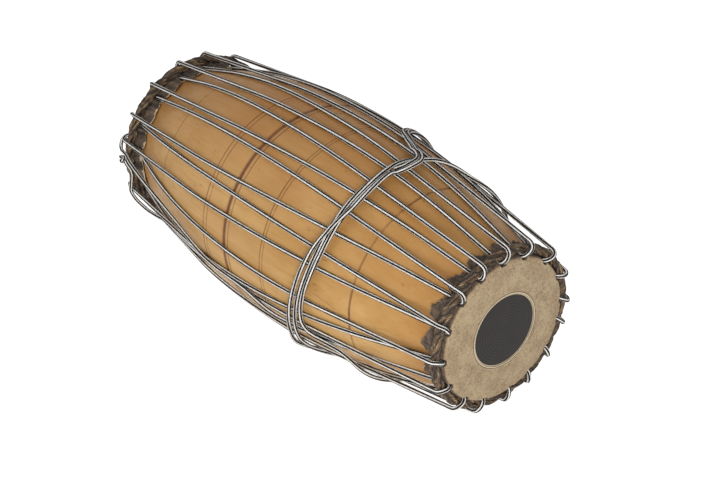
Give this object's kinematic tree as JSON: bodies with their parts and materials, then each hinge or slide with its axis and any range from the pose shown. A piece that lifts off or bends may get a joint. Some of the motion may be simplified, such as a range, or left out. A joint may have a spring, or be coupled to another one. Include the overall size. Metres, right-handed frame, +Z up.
{
  "type": "barrel drum",
  "caption": "Two-headed wooden barrel drum lying on its side, hide heads laced hoop to hoop with rope, a black tuning disc on the small head and a rope girdle.",
  "frame": {"origin": "middle of the underside of the whole drum as it lies on its side", "axes": "+X along the drum's axis, from the large bass head to the small treble head; +Z up; -Y towards the side that carries the girdle's three parallel strands"},
  "size_m": [0.5822, 0.276, 0.2705],
  "materials": {
    "wood": "golden brown, satin, with fine turned lines",
    "pale_hide": "thin pale hide, matt",
    "suede": "thick rough hide with a ragged edge, matt",
    "hoop_leather": "dark twisted straps, dull",
    "black_paste": "dried black paste of iron dust and starch, smooth and dull",
    "rope": "round braided cord with white and black lengthwise stripes",
    "straw": "dry straw"
  },
  "bodies": {
    "root": {"shell": "wood", "treble_support_ring": "pale_hide", "treble_membrane": "pale_hide", "treble_outer_skin": "suede", "treble_hoop_strap_1": "hoop_leather", "treble_hoop_strap_2": "hoop_leather", "treble_hoop_strap_3": "hoop_leather", "bass_support_ring": "pale_hide", "bass_membrane": "pale_hide", "bass_outer_skin": "suede", "bass_hoop_strap_1": "hoop_leather", "bass_hoop_strap_2": "hoop_leather", "bass_hoop_strap_3": "hoop_leather", "treble_paste_disc": "black_paste", "tone_reed_01": "straw", "tone_reed_02": "straw", "tone_reed_03": "straw", "tone_reed_04": "straw", "tone_reed_05": "straw", "tone_reed_06": "straw", "tone_reed_07": "straw", "tone_reed_08": "straw", "tone_reed_09": "straw", "tone_reed_10": "straw", "tone_reed_11": "straw", "tone_reed_12": "straw", "tone_reed_13": "straw", "tone_reed_14": "straw", "tone_reed_15": "straw", "tone_reed_16": "straw", "lacing_rope": "rope", "girdle_rope": "rope"}
  },
  "joints": []
}
